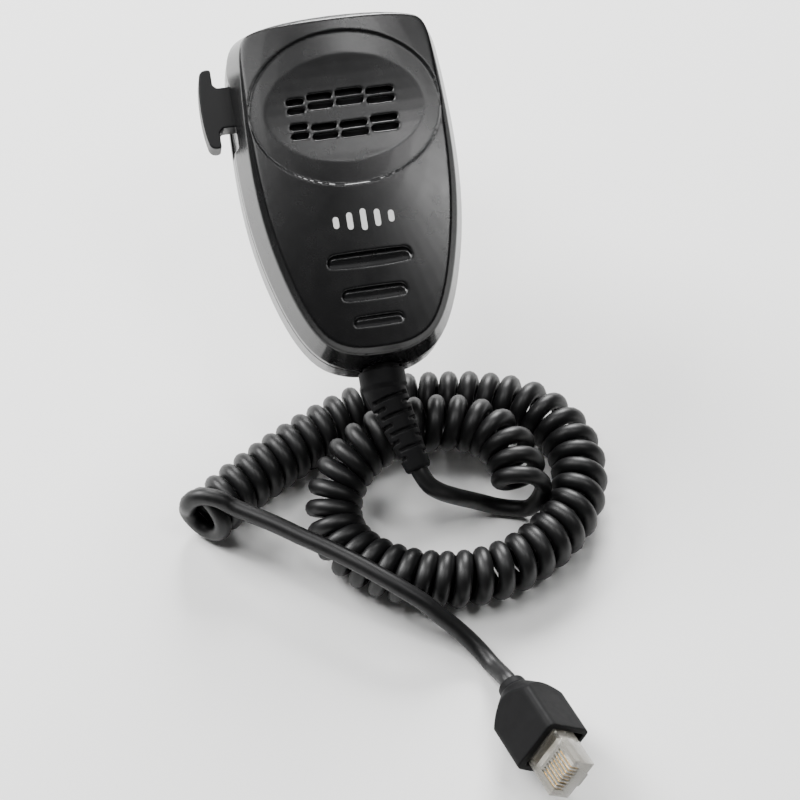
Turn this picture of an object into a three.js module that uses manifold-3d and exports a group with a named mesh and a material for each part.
// Hand microphone for a mobile two-way radio: a two-part palm body with a push-to-talk button on its
// side, a hang-up stud on its back, and a coiled cord that ends in a modular plug with a moulded hood.
// Millimetres, +Z up. The origin is the centre of the stud's outer flat face, which holds the part up.
// The body is pitched about X by bodyPitch, so its front faces up and towards -Y, and the cord lies on
// the level surface at tableZ.
// The body is drawn in its own frame: u (X) across, v (Y) from cord to top, w (Z) from back to front.
import * as THREE from "three";
import { mergeVertices } from "three/addons/utils/BufferGeometryUtils.js";
import Module from "manifold-3d";

const wasm = await Module();
wasm.setup();

// Driving dimensions
const bodyPitch = 25;          // degrees from lying flat to the pose held by the stud
const tableZ = -41;            // the surface the cord lies on
const bodyHalfWidth = 29;      // at the widest point
const bodyTop = 47.6;          // v of the top edge
const bodyBottom = -47.3;      // v of the bottom edge
const bodyDepth = 30;          // back face to the crown of the front
const partingW = 14;           // plane where the two shells meet
const wall = 2.2;              // thickness of the shells
const gap = 0.3;               // clearance between pieces that rest on or in each other
const cordRadius = 2.3;
const coilRadius = 7.6;        // outer radius of the wound cord
const studV = 14;              // height of the hang-up stud on the back
const studReach = 8.5;         // how far the stud stands out of the back
const grilleV = 19.5;          // centre of the grille
const buttonV = 26.8;          // centre of the push-to-talk button
const buttonHeight = 22;

// Finishes
const black = { color: 0x17181a, roughness: 0.4, metalness: 0 };
const softBlack = { color: 0x141416, roughness: 0.65, metalness: 0 };
const steel = { color: 0xb9bcc0, roughness: 0.35, metalness: 1 };
const clear = { color: 0xd8dcd6, roughness: 0.15, metalness: 0 };
const gold = { color: 0xd6a243, roughness: 0.3, metalness: 1 };

// ---------------------------------------------------------------- solids and how they are combined

// A geometry as a closed solid, for cutting and joining.
function solid(geometry) {
  const bare = geometry.index ? geometry.toNonIndexed() : geometry.clone();
  bare.deleteAttribute("normal");
  bare.deleteAttribute("uv");
  const merged = mergeVertices(bare, 1e-4);
  const mesh = new wasm.Mesh({
    numProp: 3,
    vertProperties: new Float32Array(merged.attributes.position.array),
    triVerts: new Uint32Array(merged.index.array),
  });
  return new wasm.Manifold(mesh);
}

// A solid back as a three.js geometry.
function geometryOf(body) {
  const mesh = body.getMesh();
  const geometry = new THREE.BufferGeometry();
  const points = new Float32Array(mesh.numVert * 3);
  for (let i = 0; i < mesh.numVert; i++) {
    for (let k = 0; k < 3; k++) points[3 * i + k] = mesh.vertProperties[mesh.numProp * i + k];
  }
  geometry.setAttribute("position", new THREE.BufferAttribute(points, 3));
  geometry.setIndex(new THREE.BufferAttribute(new Uint32Array(mesh.triVerts), 1));
  const loose = geometry.toNonIndexed();
  loose.computeVertexNormals();
  return loose;
}

// A block between two corners, [u, v, w] each.
function block(low, high) {
  const size = high.map((value, i) => value - low[i]);
  const box = new THREE.BoxGeometry(...size);
  box.translate(low[0] + size[0] / 2, low[1] + size[1] / 2, low[2] + size[2] / 2);
  return solid(box);
}

// A round bar along w, u or v, centred on [u, v, w].
function bar(radius, length, centre, along = "w", sides = 32) {
  const cylinder = new THREE.CylinderGeometry(radius, radius, length, sides);
  if (along === "w") cylinder.rotateX(Math.PI / 2);
  if (along === "u") cylinder.rotateZ(Math.PI / 2);
  cylinder.translate(...centre);
  return solid(cylinder);
}

// A body of revolution about the w axis. The profile is [radius, w] pairs that start and end on the axis.
function turned(profile, sides = 40) {
  const points = profile.map(([radius, w]) => new THREE.Vector2(radius, w));
  const lathe = new THREE.LatheGeometry(points, sides);
  lathe.rotateX(Math.PI / 2);
  return solid(lathe);
}

// A flat outline in the u-v plane, thickened from one w to another.
function slab(shape, fromW, toW, curveSegments = 10) {
  const options = { depth: toW - fromW, bevelEnabled: false, curveSegments };
  const plate = new THREE.ExtrudeGeometry(shape, options);
  plate.translate(0, 0, fromW);
  return solid(plate);
}

function ellipse(radiusU, radiusV, centreV) {
  return new THREE.Shape().absellipse(0, centreV, radiusU, radiusV, 0, Math.PI * 2);
}

function roundedRectangle(width, height, corner) {
  const x = width / 2;
  const y = height / 2;
  const shape = new THREE.Shape().moveTo(-x + corner, -y);
  shape.lineTo(x - corner, -y).quadraticCurveTo(x, -y, x, -y + corner);
  shape.lineTo(x, y - corner).quadraticCurveTo(x, y, x - corner, y);
  shape.lineTo(-x + corner, y).quadraticCurveTo(-x, y, -x, y - corner);
  shape.lineTo(-x, -y + corner).quadraticCurveTo(-x, -y, -x + corner, -y);
  return shape;
}

// ---------------------------------------------------------------- groups and nodes

const handMicrophone = new THREE.Group();
handMicrophone.name = "hand_microphone";

// Everything drawn in the body's frame, turned and moved so that the stud's face is at the origin.
const bodyGroup = new THREE.Group();
bodyGroup.rotation.x = THREE.MathUtils.degToRad(bodyPitch);
bodyGroup.position.set(0, -studV, studReach).applyEuler(bodyGroup.rotation);
handMicrophone.add(bodyGroup);

function node(group, name, body, finish) {
  const geometry = body.isBufferGeometry ? body : geometryOf(body);
  const mesh = new THREE.Mesh(geometry, new THREE.MeshStandardMaterial(finish));
  mesh.name = name;
  group.add(mesh);
  return mesh;
}

// ---------------------------------------------------------------- body outline

// One side of the outline from the top centre round to the bottom centre, as curves [controls..., end],
// each point a [share of half width, v] pair.
const outlineCurves = [
  [[0.4, bodyTop], [0.62, 46.4], [0.74, 45.4]],
  [[0.9, 44.2], [0.945, 41], [0.965, 36]],
  [[1.0, 26], [1.01, 10], [0.99, 2]],
  [[0.97, -9], [0.9, -19], [0.8, -28]],
  [[0.72, -35], [0.62, -41], [0.47, -44]],
  [[0.33, -46.6], [0.2, bodyBottom], [0, bodyBottom]],
];

function bodyOutline() {
  const at = ([share, v], side) => [side * share * bodyHalfWidth, v];
  const shape = new THREE.Shape().moveTo(0, bodyTop);
  for (const [first, second, end] of outlineCurves) {
    shape.bezierCurveTo(...at(first, 1), ...at(second, 1), ...at(end, 1));
  }
  for (let i = outlineCurves.length - 1; i >= 0; i--) {
    const [first, second] = outlineCurves[i];
    const end = i > 0 ? outlineCurves[i - 1][2] : [0, bodyTop];
    shape.bezierCurveTo(...at(second, -1), ...at(first, -1), ...at(end, -1));
  }
  return shape;
}

// The outline as a solid on both sides of the parting plane: straight for `straight`, then leaning in by
// `lean` over `rise`. `inset` shrinks it all round.
function hull(straight, rise, lean, segments, inset) {
  const options = {
    depth: 2 * straight,
    bevelEnabled: true,
    bevelThickness: rise,
    bevelSize: lean,
    bevelOffset: -lean - inset,
    bevelSegments: segments,
    curveSegments: 7,
  };
  const shape = new THREE.ExtrudeGeometry(bodyOutline(), options);
  shape.translate(0, 0, partingW - straight);
  return solid(shape);
}

// The space in front of and behind the parting plane, to cut the shells from the hull.
const frontHalf = block([-60, -70, partingW + gap / 2], [60, 70, 60]);
const rearHalf = block([-60, -70, -20], [60, 70, partingW - gap / 2]);

// ---------------------------------------------------------------- front shell

// The front surface is a very flat dome around the grille, rounder across than along; top is its crown.
function frontDome(top) {
  const domeRadius = 560;
  const acrossShare = 0.6;      // reach across for the same drop, as a share of the reach along
  const profile = [[0, -10], [92, -10]];
  for (let reach = 92; reach > 1; reach -= 7) {
    profile.push([reach, top - domeRadius + Math.sqrt(domeRadius ** 2 - reach ** 2)]);
  }
  profile.push([0, top]);
  return turned(profile, 72).scale([acrossShare, 1, 1]).translate(0, grilleV, 0);
}

// A chamfer round the front, tilted to follow the dome down towards the cord. It is everything inside a
// shrunken outline near the crown, and everything below that.
function rimChamfer() {
  const inset = 2.2;
  const chamfer = 3.6;
  const crown = 30.3;
  const cap = hull(crown - chamfer - partingW, chamfer, chamfer, 1, inset);
  const below = block([-60, -75, -20], [60, 75, crown - chamfer]);
  const level = cap.add(below).translate(0, -grilleV, -crown);
  return level.rotate([1.7, 0, 0]).translate(0, grilleV, crown);
}

const panelDepth = 0.35;       // of the oval panel round the grille
const panelRadiusU = 25.2;
const panelRadiusV = 20.7;
const dishDepth = 1.1;         // of the dish in the panel, at its centre
const dishRadius = 115;        // of the dish's curvature, seen from the side
const dishReach = 21;          // half the dish's width
const slotRows = [4.1, 1.7, -4.5, -7];            // v of the slot rows from the grille's centre
const slots = [[-12.6, 4.4], [-6.1, 6.4], [1.6, 7], [9.6, 7]];   // each slot's centre u and length
const slotHeight = 1.7;

// Four rows of slots through the front wall.
function grilleSlots() {
  const cuts = [];
  for (const row of slotRows) {
    for (const [centreU, length] of slots) {
      const shape = roundedRectangle(length, slotHeight, slotHeight / 2 - 0.05);
      const bow = 0.006 * centreU ** 2 * Math.sign(row);
      cuts.push(slab(shape, 20, 40, 3).translate(centreU, grilleV + row - bow, 0));
    }
  }
  return wasm.Manifold.union(cuts);
}

// A finger scoop with round ends, deepest under its upper edge and running out at its lower one.
function scoop(centreV, width, height) {
  const outline = roundedRectangle(width, height, height / 2 - 0.05);
  const surfaceW = bodyDepth - (centreV - grilleV) ** 2 / 1120;
  const floorW = surfaceW - height * 0.19;
  return slab(outline, 0, 8, 5).rotate([-22, 0, 0]).translate(0, centreV, floorW);
}

// An oval panel sunk evenly into the front, and in it a dish that is hollow from top to bottom.
function grillePanel() {
  const panel = slab(ellipse(panelRadiusU, panelRadiusV, grilleV), 20, 40, 24);
  const floor = frontDome(bodyDepth - panelDepth);
  const dishW = bodyDepth - panelDepth - dishDepth + dishRadius;
  const dish = bar(dishRadius, 2 * dishReach, [0, grilleV, dishW], "u", 240);
  return panel.subtract(floor).add(dish);
}

const screwPlaces = [[-20, 38.5], [20, 38.5], [-13.5, -31.5], [13.5, -31.5]];

function frontShell() {
  const drafted = hull(2.5, 13.5, 3.4, 1, 0).intersect(rimChamfer());
  const outside = drafted.intersect(frontDome(bodyDepth)).intersect(frontHalf);
  const cavity = hull(2.5, 11.5, 3.0, 1, wall).intersect(frontDome(bodyDepth - wall - 0.3));
  let shell = outside.subtract(cavity);
  for (const [u, v] of screwPlaces) {
    shell = shell.add(bar(2.9, 14, [u, v, 21.4], "w", 24)).subtract(bar(1.6, 8, [u, v, 18.2], "w", 24));
  }
  shell = shell.intersect(outside);
  shell = shell.subtract(grillePanel());
  for (const [v, width, height] of [[-21.3, 21.6, 4.2], [-30.1, 16.6, 3.6], [-37.2, 12.6, 3]]) {
    shell = shell.subtract(scoop(v, width, height));
  }
  return shell.subtract(grilleSlots()).subtract(buttonOpening()).subtract(cordOpening());
}

// A round tube along w between two heights.
function tube(inner, outer, fromW, toW, [u, v]) {
  const middle = (fromW + toW) / 2;
  const shell = bar(outer, toW - fromW, [u, v, middle], "w", 40);
  return shell.subtract(bar(inner, toW - fromW + 2, [u, v, middle], "w", 40));
}

// The button's stem passes through the side at the parting plane, inside a shallow finger recess.
const stemHeight = 11;
const stemDepth = 7;

function buttonOpening() {
  const halfStem = stemHeight / 2 + gap;
  const halfDepth = stemDepth / 2 + gap;
  const hole = block(
    [-40, buttonV - halfStem, partingW - halfDepth],
    [-24, buttonV + halfStem, partingW + halfDepth],
  );
  const halfRecess = buttonHeight / 2 + 1;
  const recess = block(
    [-40, buttonV - halfRecess, partingW - 6],
    [-28, buttonV + halfRecess, partingW + 6],
  );
  return hole.add(recess);
}

const reliefNeck = 4.9;

function cordOpening() {
  return bar(reliefNeck + gap, 12, [0, -45, partingW], "v", 40);
}

// ---------------------------------------------------------------- rear shell

const boardW = 9.5;            // back face of the circuit board
const boardThickness = 1.6;
const boardPosts = [[13, 24], [-10, -14], [13, -14]];
const clampV = -37;
const clampHalfWidth = 8.6;

function rearShell() {
  const outside = hull(8.6, 5.4, 5, 4, 0);
  let shell = outside.subtract(hull(7.6, 4.2, 4, 4, wall));
  for (const [u, v] of screwPlaces) {
    shell = shell.add(bar(4.2, 4.5, [u, v, 3.2], "w", 24)).add(bar(2.9, 12.4, [u, v, 7.4], "w", 24));
    shell = shell.subtract(bar(3, 6, [u, v, 0], "w", 24)).subtract(bar(1.6, 40, [u, v, 0], "w", 24));
  }
  for (const [u, v] of boardPosts) {
    shell = shell.add(bar(2, boardW - gap - 1, [u, v, (boardW - gap + 1) / 2], "w", 20));
    shell = shell.add(bar(0.9, 6, [u, v, boardW], "w", 16));
  }
  shell = shell.add(block([-clampHalfWidth, clampV - 3, 1], [clampHalfWidth, clampV + 3, 11]));
  for (const side of [-1, 1]) shell = shell.subtract(bar(1.3, 7, [side * 6, clampV, 9.5], "w", 20));
  shell = shell.subtract(bar(3 + gap, 10, [0, studV, 0], "w", 32));
  return shell.intersect(outside).intersect(rearHalf).subtract(buttonOpening()).subtract(cordOpening());
}

node(bodyGroup, "front_shell", frontShell(), black);
node(bodyGroup, "rear_shell", rearShell(), black);

// ---------------------------------------------------------------- case screws

// A pan-head screw with a cross recess, head down, its head's bearing face at w = seat.
function screw(headRadius, headHeight, shankRadius, length, recess) {
  const profile = [
    [0, -headHeight],
    [headRadius * 0.8, -headHeight],
    [headRadius, -headHeight * 0.6],
    [headRadius, 0],
    [shankRadius, 0],
    [shankRadius, length - shankRadius],
    [0, length],
  ];
  const across = block([-recess, -0.3, -headHeight - 1], [recess, 0.3, -headHeight * 0.45]);
  return turned(profile, 16).subtract(across).subtract(across.rotate([0, 0, 90]));
}

screwPlaces.forEach(([u, v], i) => {
  const placed = screw(2.6, 1.8, 1.25, 15, 1.5).translate(u, v, 3 - gap);
  node(bodyGroup, `case_screw_${i + 1}`, placed, steel);
});

// ---------------------------------------------------------------- hang-up stud

function hangStud() {
  const profile = [
    [0, -studReach],
    [5.7, -studReach],
    [6.3, -studReach + 0.6],
    [6.3, -studReach + 1.8],
    [5.8, -studReach + 2.3],
    [3.9, -studReach + 2.3],
    [3.9, -2.4],
    [5.6, -1.9],
    [5.6, -gap],
    [3, -gap],
    [3, 6.2],
    [2.6, 6.6],
    [0, 6.6],
  ];
  return turned(profile, 48).translate(0, studV, 0);
}

function studNut() {
  const hexagon = bar(4.6, 2.4, [0, studV, 4.6], "w", 6);
  return hexagon.subtract(bar(3 + gap, 4, [0, studV, 4.6], "w", 32));
}

function groundLug() {
  const tab = block([3, studV - 1.5, 2.5], [12, studV + 1.5, 3.1]);
  const ring = bar(5, 0.6, [0, studV, 2.8], "w", 32).add(tab);
  return ring.subtract(bar(3 + gap, 4, [0, studV, 2.8], "w", 32));
}

node(bodyGroup, "hang_stud", hangStud(), steel);
node(bodyGroup, "stud_nut", studNut(), steel);
node(bodyGroup, "ground_lug", groundLug(), steel);

// ---------------------------------------------------------------- microphone element and grille cloth

node(bodyGroup, "grille_cloth", slab(ellipse(16.4, 8.2, grilleV - 1.4), 25.9, 26.3, 12), softBlack);

const boardFront = boardW + boardThickness;
const capsuleRadius = 4.85;
const capsuleBack = 19.6;
const capsuleFront = 25.5;

// The electret element: a metal can with a small sound hole.
function micCapsule() {
  const profile = [
    [0, capsuleBack],
    [capsuleRadius - 0.5, capsuleBack],
    [capsuleRadius, capsuleBack + 0.5],
    [capsuleRadius, capsuleFront - 0.4],
    [capsuleRadius - 0.4, capsuleFront],
    [1, capsuleFront],
    [1, capsuleFront - 1],
    [0, capsuleFront - 1],
  ];
  return turned(profile, 36).translate(0, grilleV, 0);
}

// The rubber cup that stands on the board and holds the capsule up to the grille.
function micBoot() {
  const cup = tube(capsuleRadius + gap, 7.4, capsuleBack - 1.5, capsuleFront, [0, grilleV]);
  const foot = tube(3, 6.2, boardFront + gap, capsuleBack - gap, [0, grilleV]);
  return cup.add(foot);
}

node(bodyGroup, "mic_capsule", micCapsule(), { color: 0xc9ccd0, roughness: 0.4, metalness: 1 });
node(bodyGroup, "mic_boot", micBoot(), softBlack);

// ---------------------------------------------------------------- circuit board, switch and wiring

function circuitBoard() {
  let board = block([-17.3, -26, boardW], [18.5, 33, boardFront]);
  for (const [u, v] of boardPosts) board = board.subtract(bar(0.9 + gap, 4, [u, v, boardW], "w", 16));
  return board;
}

const plungerRadius = 1.3;
const plungerTip = -23.8;
const switchLeft = -16.8;
const switchRight = -8.5;

// The switch stands on the board and is bored for its plunger.
function switchBody() {
  const low = [switchLeft, buttonV - 6, boardFront + gap];
  const body = block(low, [switchRight, buttonV + 6, partingW + 3]);
  return body.subtract(bar(plungerRadius + gap, 12, [switchLeft, buttonV, partingW], "u", 24));
}

function switchPlunger() {
  const plungerEnd = switchLeft + 2.6;
  const middle = [(plungerTip + plungerEnd) / 2, buttonV, partingW];
  return bar(plungerRadius, plungerEnd - plungerTip, middle, "u", 24);
}

node(bodyGroup, "circuit_board", circuitBoard(), { color: 0x1f5a36, roughness: 0.5, metalness: 0 });
node(bodyGroup, "switch_body", switchBody(), softBlack);
node(bodyGroup, "switch_plunger", switchPlunger(), { color: 0xb03a2a, roughness: 0.5, metalness: 0 });

const connectorTopV = -18.5;
const connectorBottomV = -25.2;

function wireConnector() {
  return block([-6, connectorBottomV, boardFront + gap], [6, connectorTopV, partingW + 3]);
}

node(bodyGroup, "wire_connector", wireConnector(), { color: 0xe6e2d4, roughness: 0.5, metalness: 0 });

// ---------------------------------------------------------------- push-to-talk button and its spring

const buttonOuterU = -36.2;
const buttonInnerU = -32.1;
const flangeU = -24.2;            // inner face of the flange that keeps the button in the case

// The button's outline: a long bowed bar outside the case and a stem through its side.
function buttonOutline() {
  const half = buttonHeight / 2;
  const halfStem = stemHeight / 2;
  const outer = buttonOuterU;
  const inner = buttonInnerU;
  const shape = new THREE.Shape().moveTo(inner, -half + 0.6);
  shape.bezierCurveTo(inner - 0.6, -half, outer + 1.6, -half, outer + 1, -half + 1.4);
  shape.bezierCurveTo(outer - 0.3, -half * 0.4, outer - 0.3, half * 0.4, outer + 1, half - 1.4);
  shape.bezierCurveTo(outer + 1.6, half, inner - 0.6, half, inner, half - 0.6);
  shape.lineTo(inner, halfStem + 1).lineTo(inner + 1, halfStem).lineTo(flangeU, halfStem);
  shape.lineTo(flangeU, -halfStem).lineTo(inner + 1, -halfStem).lineTo(inner, -halfStem - 1);
  return shape;
}

function pushButton() {
  const blank = slab(buttonOutline(), partingW - stemDepth / 2, partingW + stemDepth / 2, 8);
  const flange = block(
    [flangeU - 1.2, buttonV - stemHeight / 2 - 1.7, partingW - stemDepth / 2 + 0.4],
    [flangeU, buttonV + stemHeight / 2 + 1.7, partingW + stemDepth / 2 - 0.4],
  );
  return blank.translate(0, buttonV, 0).add(flange);
}

// A helix about the u axis.
class Helix extends THREE.Curve {
  constructor(radius, turns, fromU, toU) {
    super();
    Object.assign(this, { radius, turns, fromU, toU });
  }

  getPoint(t, target = new THREE.Vector3()) {
    const angle = t * this.turns * Math.PI * 2;
    const u = this.fromU + (this.toU - this.fromU) * t;
    return target.set(u, this.radius * Math.cos(angle), this.radius * Math.sin(angle));
  }
}

function buttonSpring() {
  const wireRadius = 0.25;
  const turns = 5;
  const path = new Helix(2.6, turns, flangeU + gap + wireRadius, switchLeft - gap - wireRadius);
  const section = new THREE.Shape().absarc(0, 0, wireRadius, 0, Math.PI * 2);
  const options = { steps: turns * 12, extrudePath: path, bevelEnabled: false, curveSegments: 3 };
  const wire = new THREE.ExtrudeGeometry(section, options);
  return wire.translate(0, buttonV, partingW);
}

node(bodyGroup, "ptt_button", pushButton(), black);
node(bodyGroup, "ptt_spring", buttonSpring(), steel);

// ---------------------------------------------------------------- cord entry

const rootV = -42;              // inner end of the strain relief
const reliefLean = 14;          // degrees the flexible sleeve leans to the right
const collarLength = 10.6;      // from the inner end to the start of the sleeve
const sleeveLength = 23;

// The cord's moulded strain relief: a flange inside the case, a neck through its wall, a plain collar
// outside, and a tapered sleeve with staggered slots that lets it bend.
function strainRelief() {
  const root = turned([
    [0, 0],
    [6.4, 0],
    [6.4, 1.4],
    [reliefNeck, 1.4],
    [reliefNeck, 5.7],
    [6.1, 5.7],
    [6.1, collarLength - 0.8],
    [5.7, collarLength],
    [0, collarLength],
  ]);
  const wideRadius = 5.5;
  const taper = 0.1;
  let sleeve = turned([
    [0, -1],
    [wideRadius, -1],
    [wideRadius, 1],
    [3.4, sleeveLength - 0.6],
    [3, sleeveLength],
    [0, sleeveLength],
  ]);
  for (let i = 0; i < 8; i++) {
    const from = 2.6 + i * 2.3;
    const floorRadius = wideRadius - taper * from - 0.9 + i * 0.06;
    const ring = tube(floorRadius, 9, from, from + 1, [0, 0]);
    const bridge = i % 2 === 0 ? block([-9, -2.2, 0], [9, 2.2, 30]) : block([-2.2, -9, 0], [2.2, 9, 30]);
    sleeve = sleeve.subtract(ring.subtract(bridge));
  }
  const leaning = sleeve.rotate([90, 0, 0]).rotate([0, 0, reliefLean]).translate(0, -collarLength + 0.2, 0);
  return root.rotate([90, 0, 0]).add(leaning).translate(0, rootV, partingW);
}

function innerLead() {
  const from = rootV + gap;
  const to = connectorBottomV - gap;
  return bar(cordRadius, to - from, [0, (from + to) / 2, partingW], "v", 20);
}

const clampTop = partingW + 4.4;
const clampScrewU = 6;

// A saddle over the lead, screwed down on the rear shell's block.
function cableClamp() {
  const low = [-clampHalfWidth, clampV - 2.5, 11 + gap];
  const saddle = block(low, [clampHalfWidth, clampV + 2.5, clampTop]);
  const reach = cordRadius + gap;
  const channel = bar(reach, 8, [0, clampV, partingW], "v", 24);
  const slot = block([-reach, clampV - 4, 8], [reach, clampV + 4, partingW]);
  let clamp = saddle.subtract(channel).subtract(slot);
  for (const side of [-1, 1]) {
    clamp = clamp.subtract(bar(1.3, 20, [side * clampScrewU, clampV, partingW], "w", 20));
  }
  return clamp;
}

node(bodyGroup, "strain_relief", strainRelief(), softBlack);
node(bodyGroup, "inner_lead", innerLead(), softBlack);
node(bodyGroup, "cable_clamp", cableClamp(), softBlack);
[-1, 1].forEach((side, i) => {
  const headUp = screw(1.9, 1.3, 1, 9, 1.1).rotate([180, 0, 0]);
  const placed = headUp.translate(side * clampScrewU, clampV, clampTop + gap);
  node(bodyGroup, `clamp_screw_${i + 1}`, placed, steel);
});

// ---------------------------------------------------------------- cord

// The routes are centrelines in the part's frame. The coil is drawn as one tube of its outer diameter.
const coilRoute = [
  [32.4, -93, -27.1], [32.3, -86.2, -25.9], [29.6, -78.8, -25], [23.3, -73.7, -24.5],
  [13.7, -71.7, -24], [4.7, -72, -24], [-3.8, -74.7, -24.2], [-10.9, -79.4, -26.2],
  [-15.6, -86, -29.3], [-16.9, -94, -31.9], [-13.6, -102, -33], [-6, -108.9, -33],
  [4.4, -113.4, -33], [15.5, -114.9, -33], [26.6, -112.8, -33], [37, -107.3, -33],
  [45.9, -98.5, -33], [50, -86.4, -33], [48.2, -74.4, -33], [40.7, -65.1, -33],
  [29.2, -60.3, -33], [18.3, -58.3, -33], [7.2, -57.3, -33], [-4.9, -59.1, -33],
  [-14.3, -62.8, -33], [-23.2, -67.4, -33], [-31, -71.9, -33], [-38.2, -76.3, -33],
  [-45, -81, -33], [-51.2, -85.8, -33],
];
const leadInRoute = [
  [5.8, -90.7, -17.5], [7.6, -93.2, -19.8], [10.7, -93.8, -23], [14.1, -93.3, -26.5],
  [17.1, -92.4, -29.9], [21.9, -90.9, -35.2], [27, -91.3, -38.2], [31.8, -92.7, -38.4],
  [34.9, -94, -37], [36.8, -94.3, -34],
];
const leadOutRoute = [
  [-42.5, -88, -25], [-33.4, -94.8, -24.7], [-27.3, -99.8, -24.6], [-20.5, -105.1, -24.6],
  [-13.7, -110.8, -24.8], [-8.1, -115.7, -25.4], [-3.6, -119.4, -26.6], [1, -122.7, -28.8],
  [4.8, -125.6, -31.8], [9.2, -128.8, -35.2], [13, -132.9, -37.8], [15.6, -138, -38],
  [17, -142.4, -35.6], [17.9, -146.1, -33.2],
];

function routed(points, radius, steps) {
  const path = new THREE.CatmullRomCurve3(points.map((point) => new THREE.Vector3(...point)));
  const section = new THREE.Shape().absarc(0, 0, radius, 0, Math.PI * 2);
  const options = { steps, extrudePath: path, bevelEnabled: false, curveSegments: 6 };
  return new THREE.ExtrudeGeometry(section, options);
}

node(handMicrophone, "coil", routed(coilRoute, coilRadius, 56), softBlack);
node(handMicrophone, "lead_in", routed(leadInRoute, cordRadius, 12), softBlack);
node(handMicrophone, "lead_out", routed(leadOutRoute, cordRadius, 22), softBlack);

// ---------------------------------------------------------------- plug

// The plug's own frame: y along the cord towards the nose, x across, z out of its contact side.
const plugStart = [18.2, -147.2, -33];
const plugHeading = -76;        // degrees from +X of the way the nose points
const plugPitch = 12;           // degrees its nose is raised
const plugRoll = 50;            // degrees it is turned about its own length
const plugGroup = new THREE.Group();
plugGroup.position.set(...plugStart);
plugGroup.rotation.order = "ZXY";
plugGroup.rotation.x = THREE.MathUtils.degToRad(plugPitch);
plugGroup.rotation.y = THREE.MathUtils.degToRad(plugRoll);
plugGroup.rotation.z = THREE.MathUtils.degToRad(plugHeading - 90);
handMicrophone.add(plugGroup);

const hoodWidth = 15.6;
const hoodHeight = 14;
const hoodLength = 23.5;
const plugWidth = 11.68;
const plugBack = 12.5;
const plugNose = 34;
const plugTop = 3.6;
const plugBottom = -2.9;
const contactPitch = 1.02;
const blockStart = plugNose - 9;   // where the thick block that holds the contacts starts

// The soft hood over the plug: a round neck at the cord, sloping shoulders and a rectangular mouth.
function plugHood() {
  const prism = slab(roundedRectangle(hoodWidth, hoodHeight, 2), -hoodLength, -gap, 4).rotate([90, 0, 0]);
  const envelope = turned([
    [0, gap],
    [3.6, gap],
    [3.9, 2.6],
    [5.2, 4],
    [11, 11.5],
    [11, hoodLength - 1],
    [10, hoodLength],
    [0, hoodLength],
  ]).rotate([-90, 0, 0]);
  const halfMouth = plugWidth / 2 + gap;
  const mouth = block([-halfMouth, plugBack - gap, -5.7], [halfMouth, 40, plugTop + 1.2]);
  return prism.intersect(envelope).subtract(mouth);
}

// The clear modular plug. Its rear is a sleeve over the cord's end, closed by a rib; in front of a gap
// stands the block with the contact slots.
function plugBody() {
  const half = plugWidth / 2;
  let body = block([-half, plugBack, plugBottom], [half, plugNose, plugTop]);
  body = body.subtract(block([-half + 1, blockStart - 2, -0.4], [half - 1, blockStart, 10]));
  body = body.subtract(block([-half + 1, plugBack - 1, -1.6], [half - 1, blockStart - 2.8, 2.4]));
  for (let i = 0; i < 8; i++) {
    const x = (i - 3.5) * contactPitch;
    body = body.subtract(block([x - 0.3, plugNose - 6.5, 0.4], [x + 0.3, plugNose + 1, 10]));
  }
  return body;
}

// The end of the cord's jacket, flattened into the plug's sleeve.
function plugLead() {
  const half = plugWidth / 2 - 1 - gap;
  return block([-half, plugBack + gap, -1.6 + gap], [half, blockStart - 2.8 - gap, 2.4 - gap]);
}

function contactBlade(x) {
  return block([x - 0.15, plugNose - 6.1, 0.6], [x + 0.15, plugNose - 0.5, plugTop - 0.5]);
}

// The latch is a springy tongue hinged at the nose. Its free end stands away from the plug.
function plugLatch() {
  const root = plugBottom - gap;
  const freeEnd = plugNose - 13.5;
  const shape = new THREE.Shape().moveTo(plugNose - 0.4, root).lineTo(plugNose - 2.2, root);
  shape.lineTo(freeEnd, root - 1.5).lineTo(freeEnd, root - 2.4).lineTo(plugNose - 5.6, root - 1.6);
  shape.lineTo(plugNose - 5.6, root - 2.3).lineTo(plugNose - 0.4, root - 0.8);
  const tongue = new THREE.ExtrudeGeometry(shape, { depth: 4, bevelEnabled: false });
  const yAxis = new THREE.Vector3(0, 1, 0);
  const zAxis = new THREE.Vector3(0, 0, 1);
  const xAxis = new THREE.Vector3(1, 0, 0);
  tongue.applyMatrix4(new THREE.Matrix4().makeBasis(yAxis, zAxis, xAxis));
  return tongue.translate(-2, 0, 0);
}

node(plugGroup, "plug_hood", plugHood(), softBlack);
node(plugGroup, "plug_body", plugBody(), clear);
node(plugGroup, "plug_lead", plugLead(), softBlack);
for (let i = 0; i < 8; i++) {
  node(plugGroup, `plug_contact_${i + 1}`, contactBlade((i - 3.5) * contactPitch), gold);
}
node(plugGroup, "plug_latch", plugLatch(), clear);

export default handMicrophone;
